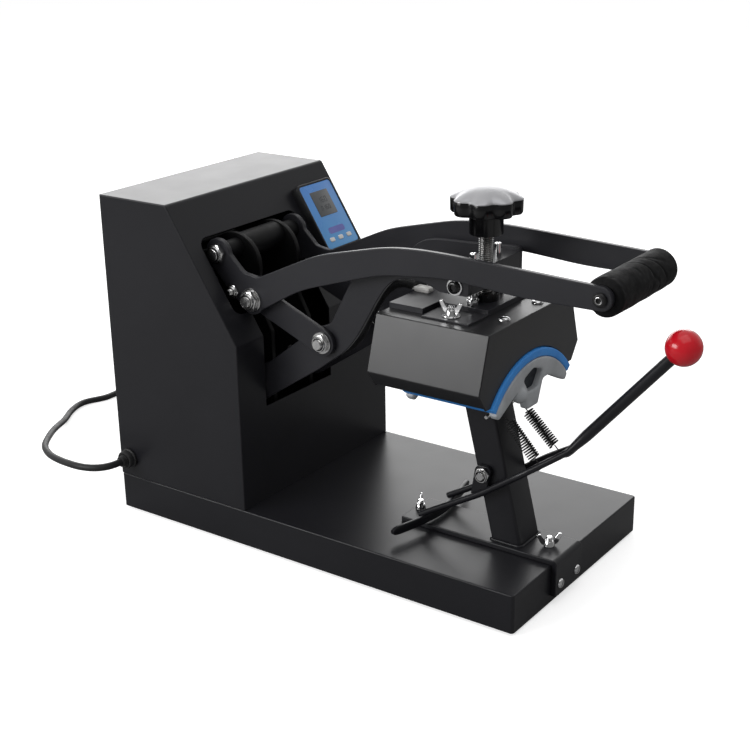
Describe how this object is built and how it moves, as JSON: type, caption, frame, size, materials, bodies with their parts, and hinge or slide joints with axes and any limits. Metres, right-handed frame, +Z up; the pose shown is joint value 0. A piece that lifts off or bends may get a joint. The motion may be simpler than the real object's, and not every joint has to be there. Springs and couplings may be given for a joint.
{
  "type": "cap heat press",
  "caption": "Benchtop cap heat press with a folded steel body, toggle handle, curved heated platen, silicone pad and cap lever.",
  "frame": {"origin": "middle of the footprint of the machine without its cord, on the surface that the feet stand on", "axes": "+Z up, +Y from the handle's grip towards the housing, +X to the right seen from the front"},
  "size_m": [0.2991, 0.8079, 0.355],
  "materials": {
    "black_steel": "satin",
    "rubber": "matte",
    "zinc_steel": "satin",
    "dark_steel": "satin",
    "foam": "matte",
    "black_plastic": "satin",
    "silver_cap": "polished",
    "bare_aluminium": "satin",
    "heater_foil": "matte",
    "braided_sleeve": "matte",
    "white_plastic": "gloss",
    "blue_silicone": "matte",
    "red_plastic": "gloss",
    "blue_panel": "satin",
    "grey_display": "gloss"
  },
  "bodies": {
    "base": {"base_tray": "black_steel", "base_bottom": "black_steel", "feet": "rubber", "housing_shell": "black_steel", "rear_cover": "black_steel", "rear_cover_screws": "zinc_steel", "power_switch": "black_plastic", "frame_plate_left": "black_steel", "frame_plate_right": "black_steel", "main_shaft": "zinc_steel", "arm_shaft": "zinc_steel", "shaft_spacers": "dark_steel", "shaft_nuts": "zinc_steel", "silicone_pad": "blue_silicone", "pad_casting": "bare_aluminium", "pedestal": "black_steel", "base_bracket": "black_steel", "bracket_fasteners": "zinc_steel", "pivot_bolt": "zinc_steel", "spring_left": "dark_steel", "spring_right": "dark_steel", "controller_box": "black_plastic", "controller_face": "blue_panel", "controller_display": "grey_display", "cord_gland": "black_plastic", "mains_cord": "rubber", "cord_coil": "rubber", "plug_cord": "rubber", "mains_plug": "black_plastic"},
    "handle": {"handle_plate_left": "black_steel", "handle_plate_right": "black_steel", "grip_tube": "zinc_steel", "grip_foam": "foam", "handle_fasteners": "zinc_steel", "link_bolts_upper": "zinc_steel"},
    "links": {"link_left": "black_steel", "link_right": "black_steel", "link_bolts_lower": "zinc_steel"},
    "platen_arms": {"platen_arm_left": "black_steel", "platen_arm_right": "black_steel", "cross_block": "black_steel", "arm_fasteners": "zinc_steel"},
    "platen_head": {"platen_cover": "black_steel", "heating_platen": "bare_aluminium", "heater_element": "heater_foil", "hanger_bracket": "black_steel", "thrust_boss": "black_plastic", "guide_pins": "zinc_steel", "platen_fasteners": "zinc_steel", "heater_cable": "braided_sleeve", "cable_connector": "white_plastic"},
    "pressure_screw": {"knob_body": "black_plastic", "knob_cap": "silver_cap", "threaded_rod": "zinc_steel"},
    "cap_lever": {"lever_frame": "black_steel", "lever_ball": "red_plastic"},
    "rocker": {"power_rocker": "red_plastic"},
    "button_left": {"button_left": "white_plastic"},
    "button_middle": {"button_middle": "white_plastic"},
    "button_right": {"button_right": "white_plastic"}
  },
  "joints": [
    {"name": "handle_hinge", "type": "hinge", "parent": "base", "child": "handle", "pos_m": [-0.028, 0.16435, 0.275], "axis": [-1, 0, 0], "range_deg": [0, 90]},
    {"name": "arm_hinge", "type": "hinge", "parent": "base", "child": "platen_arms", "pos_m": [-0.028, 0.13335, 0.15], "axis": [-1, 0, 0], "range_deg": [0, 32.15]},
    {"name": "link_hinge", "type": "hinge", "parent": "handle", "child": "links", "pos_m": [-0.028, 0.12635, 0.237], "axis": [-1, 0, 0], "range_deg": [-134.88, 0]},
    {"name": "knob_turn", "type": "hinge", "parent": "platen_head", "child": "pressure_screw", "pos_m": [-0.028, -0.08615, 0.34], "axis": [0, 0, 1], "range_deg": [0, 1445]},
    {"name": "platen_height", "type": "slide", "parent": "platen_arms", "child": "platen_head", "axis": [0, 0, 1], "range_m": [0, 0.007]},
    {"name": "cap_lever_hinge", "type": "hinge", "parent": "base", "child": "cap_lever", "pos_m": [-0.028, -0.09915, 0.106], "axis": [1, 0, 0], "range_deg": [0, 25], "stiffness_Nm_per_rad": 1.6, "springref_deg": -20.05, "deforming": ["spring_left", "spring_right"]},
    {"name": "power_switch_rock", "type": "hinge", "parent": "base", "child": "rocker", "pos_m": [0.062, 0.27235, 0.075], "axis": [-1, 0, 0], "range_deg": [0, 16]},
    {"name": "button_left_press", "type": "slide", "parent": "base", "child": "button_left", "axis": [0, 0.8436, -0.537], "range_m": [0, 0.001], "stiffness_N_per_m": 400},
    {"name": "button_middle_press", "type": "slide", "parent": "base", "child": "button_middle", "axis": [0, 0.8436, -0.537], "range_m": [0, 0.001], "stiffness_N_per_m": 400},
    {"name": "button_right_press", "type": "slide", "parent": "base", "child": "button_right", "axis": [0, 0.8436, -0.537], "range_m": [0, 0.001], "stiffness_N_per_m": 400}
  ],
  "couplings": [
    {"joint": "arm_hinge", "follows": "handle_hinge", "ratio": 0.3517},
    {"joint": "link_hinge", "follows": "handle_hinge", "ratio": -1.4931},
    {"joint": "knob_turn", "follows": "platen_height", "rad_per_m": 3590.4}
  ]
}
